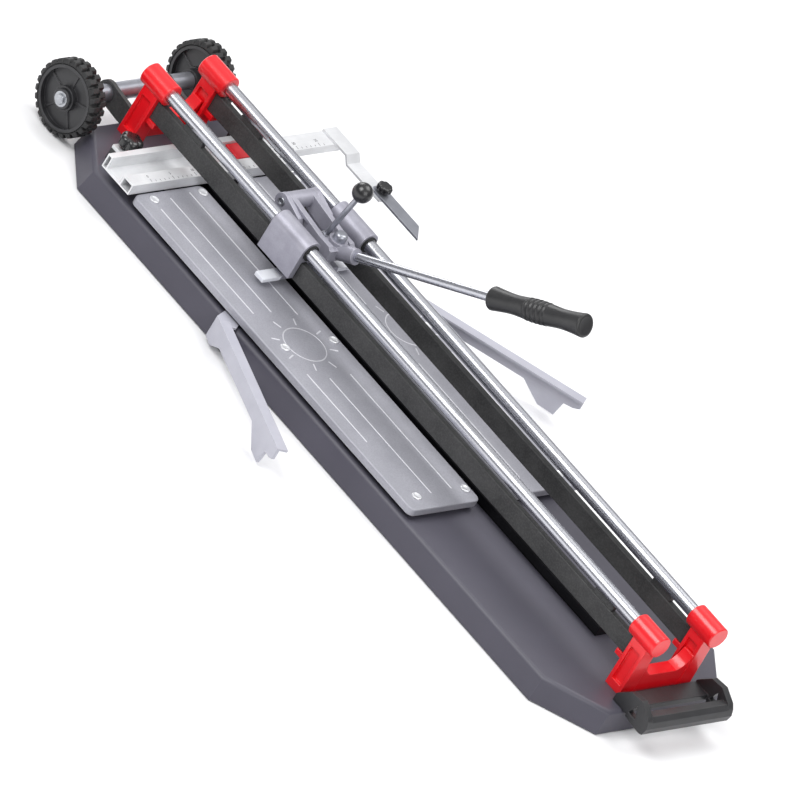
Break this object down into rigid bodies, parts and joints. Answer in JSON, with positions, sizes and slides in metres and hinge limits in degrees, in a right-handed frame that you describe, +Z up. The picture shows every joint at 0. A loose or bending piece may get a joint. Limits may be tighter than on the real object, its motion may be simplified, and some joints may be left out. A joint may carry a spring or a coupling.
{
  "type": "manual tile cutter",
  "caption": "Manual tile cutter with a tray, twin rails, sliding lever carriage, sprung tile plates, lateral stop, side arms and transport wheels.",
  "frame": {"origin": "on the floor under the middle of the tray, at the centre of the middle rubber foot, half-way along the tray and midway between the rails", "axes": "+X along the rails towards the carrying handle, +Y to the right-hand side with the ruler and square, +Z up"},
  "size_m": [1.4744, 0.7025, 0.4057],
  "materials": {
    "tray_paint": "satin powder coat",
    "foot_rubber": "matte",
    "bar_anodised": "dark anodised, matte",
    "strip_steel": "ground",
    "red_enamel": "gloss enamel over casting",
    "bolt_steel": "zinc plated",
    "rail_chrome": "polished hard chrome",
    "beam_paint": "textured black powder coat",
    "plate_aluminium": "textured",
    "stud_steel": "satin",
    "buffer_rubber": "matte",
    "cast_aluminium": "shot-blasted casting",
    "bush_bronze": "sintered",
    "grip_rubber": "fine grain",
    "hard_steel": "ground and hardened",
    "ball_plastic": "gloss phenolic",
    "white_plastic": "smooth",
    "tyre_rubber": "matte",
    "black_plastic": "fine grain",
    "red_plastic": "moulded",
    "zinc_steel": "zinc plated",
    "extruded_aluminium": "satin anodised",
    "arm_casting": "pale grey painted casting"
  },
  "bodies": {
    "frame": {"base_tray": "tray_paint", "rubber_feet": "foot_rubber", "breaking_bar": "bar_anodised", "breaking_strip": "strip_steel", "near_support": "red_enamel", "far_support": "red_enamel", "support_bolts": "bolt_steel", "plate_guide_pins": "bolt_steel", "axle": "zinc_steel", "axle_bracket": "beam_paint", "handle": "black_plastic", "stop_bar": "extruded_aluminium", "stop_clamps": "black_plastic", "left_guide_rail": "rail_chrome", "left_beam": "beam_paint", "left_rail_saddles": "beam_paint", "left_plate_buffers": "buffer_rubber", "left_axle_cap": "black_plastic", "left_axle_spacer": "black_plastic", "left_arm_pin": "bolt_steel", "right_guide_rail": "rail_chrome", "right_beam": "beam_paint", "right_rail_saddles": "beam_paint", "right_plate_buffers": "buffer_rubber", "right_axle_cap": "black_plastic", "right_axle_spacer": "black_plastic", "right_arm_pin": "bolt_steel"},
    "left_tile_plate": {"left_plate": "plate_aluminium", "left_plate_studs": "stud_steel"},
    "right_tile_plate": {"right_plate": "plate_aluminium", "right_plate_studs": "stud_steel"},
    "carriage": {"carriage": "cast_aluminium", "rail_bushes": "bush_bronze", "rail_wipers": "foot_rubber", "lever_hinge_pin": "bolt_steel"},
    "lever": {"lever_bracket": "cast_aluminium", "lever_rod": "rail_chrome", "lever_grip": "grip_rubber", "scoring_holder": "zinc_steel", "cap_nut": "zinc_steel", "scoring_pin": "bolt_steel", "ball_pivot_pin": "bolt_steel"},
    "scorer": {"scoring_wheel": "hard_steel"},
    "ball_lever": {"ball_stick": "zinc_steel", "ball_knob": "ball_plastic"},
    "breaker": {"breaker_foot": "cast_aluminium", "breaker_pads": "white_plastic"},
    "left_wheel": {"left_tyre": "tyre_rubber", "left_wheel_rim": "black_plastic"},
    "right_wheel": {"right_tyre": "tyre_rubber", "right_wheel_rim": "black_plastic"},
    "left_clamp_knob": {"left_star_knob": "ball_plastic"},
    "right_clamp_knob": {"right_star_knob": "ball_plastic"},
    "ruler": {"ruler": "extruded_aluminium", "ruler_cap": "red_plastic", "square_arm": "extruded_aluminium"},
    "blade": {"square_blade": "zinc_steel"},
    "blade_knob": {"square_knob": "ball_plastic"},
    "left_arm": {"left_side_arm": "arm_casting"},
    "right_arm": {"right_side_arm": "arm_casting"}
  },
  "joints": [
    {"name": "carriage_slide", "type": "slide", "parent": "frame", "child": "carriage", "axis": [1, 0, 0], "range_m": [-0.17, 0.72]},
    {"name": "lever_hinge", "type": "hinge", "parent": "carriage", "child": "lever", "pos_m": [-0.352, 0, 0.152], "axis": [0, -1, 0], "range_deg": [0, 40]},
    {"name": "scoring_spin", "type": "hinge", "parent": "lever", "child": "scorer", "pos_m": [-0.254, 0, 0.077], "axis": [0, 1, 0], "continuous": true},
    {"name": "ball_lever_tilt", "type": "hinge", "parent": "lever", "child": "ball_lever", "pos_m": [-0.2795, 0, 0.141], "axis": [0, -1, 0], "range_deg": [0, 50]},
    {"name": "breaker_drop", "type": "slide", "parent": "carriage", "child": "breaker", "axis": [0, 0, -1], "range_m": [0, 0.004]},
    {"name": "left_plate_sink", "type": "slide", "parent": "frame", "child": "left_tile_plate", "axis": [0, 0, -1], "range_m": [0, 0.003], "stiffness_N_per_m": 12000, "springref_m": -0.002, "deforming": ["left_plate_buffers"]},
    {"name": "right_plate_sink", "type": "slide", "parent": "frame", "child": "right_tile_plate", "axis": [0, 0, -1], "range_m": [0, 0.003], "stiffness_N_per_m": 12000, "springref_m": -0.002, "deforming": ["right_plate_buffers"]},
    {"name": "left_wheel_spin", "type": "hinge", "parent": "frame", "child": "left_wheel", "pos_m": [-0.702, -0.147, 0.0625], "axis": [0, 1, 0], "continuous": true},
    {"name": "right_wheel_spin", "type": "hinge", "parent": "frame", "child": "right_wheel", "pos_m": [-0.702, 0.147, 0.0625], "axis": [0, 1, 0], "continuous": true},
    {"name": "left_clamp_turn", "type": "hinge", "parent": "frame", "child": "left_clamp_knob", "pos_m": [-0.5785, -0.133, 0.083], "axis": [0, 0, 1], "continuous": true},
    {"name": "right_clamp_turn", "type": "hinge", "parent": "frame", "child": "right_clamp_knob", "pos_m": [-0.5785, 0.133, 0.083], "axis": [0, 0, 1], "continuous": true},
    {"name": "ruler_slide", "type": "slide", "parent": "frame", "child": "ruler", "axis": [0, 1, 0], "range_m": [-0.075, 0.085]},
    {"name": "blade_swing", "type": "hinge", "parent": "ruler", "child": "blade", "pos_m": [-0.4067, 0.285, 0.0776], "axis": [0, 0, 1], "range_deg": [-90, 45]},
    {"name": "blade_knob_turn", "type": "hinge", "parent": "ruler", "child": "blade_knob", "pos_m": [-0.4067, 0.285, 0.086], "axis": [0, 0, 1], "continuous": true},
    {"name": "left_arm_swing", "type": "hinge", "parent": "frame", "child": "left_arm", "pos_m": [-0.232, -0.182, 0.0445], "axis": [0, 0, -1], "range_deg": [-24.5, 23]},
    {"name": "right_arm_swing", "type": "hinge", "parent": "frame", "child": "right_arm", "pos_m": [-0.232, 0.182, 0.0445], "axis": [0, 0, 1], "range_deg": [-26, 22]}
  ],
  "couplings": [
    {"joint": "breaker_drop", "follows": "ball_lever_tilt", "m_per_rad": 0.00458}
  ]
}
